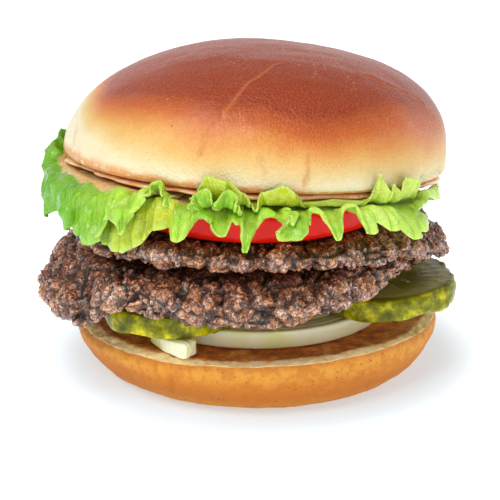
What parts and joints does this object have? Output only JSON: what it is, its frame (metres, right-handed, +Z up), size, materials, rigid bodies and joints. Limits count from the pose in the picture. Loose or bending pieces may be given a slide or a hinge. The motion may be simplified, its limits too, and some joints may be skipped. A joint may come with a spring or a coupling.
{
  "type": "double hamburger",
  "caption": "Double hamburger to eat in the hand: a domed glossy bun over frilly leaf lettuce, tomato, craggy beef patties, pickle and onion on a toasted flat bun base.",
  "frame": {"origin": "centre of the bun heel's flat base, on the surface it stands on", "axes": "+Z up through the layers, -Y towards the front where the tomato shows most, +X to the right seen from the front"},
  "size_m": [0.1134, 0.12, 0.0896],
  "materials": {
    "crust_crown": "glossy baked crust, red-brown on top and cream at its lower edge",
    "crust_heel": "matte golden-brown crust with fine pores, a pale cut edge and a toasted face",
    "sauce": "wet peach-orange sauce with small specks",
    "lettuce": "waxy bright green leaf with paler ruffled edges",
    "lettuce_pale": "waxy yellow-green leaf",
    "tomato": "wet glossy red skin",
    "beef": "dark seared minced beef with moist brown crags",
    "pickle": "wet bumpy olive-green skin with a paler cut face",
    "onion": "moist translucent cream-white onion"
  },
  "bodies": {
    "root": {"bun_crown": "crust_crown", "sauce": "sauce", "lettuce_front": "lettuce", "lettuce_left": "lettuce", "lettuce_back": "lettuce", "lettuce_curl": "lettuce", "lettuce_top": "lettuce_pale", "tomato_slice": "tomato", "patty_upper": "beef", "patty_lower": "beef", "pickle_left": "pickle", "pickle_right": "pickle", "pickle_back": "pickle", "onion_slice": "onion", "onion_piece": "onion", "bun_heel": "crust_heel"}
  },
  "joints": []
}
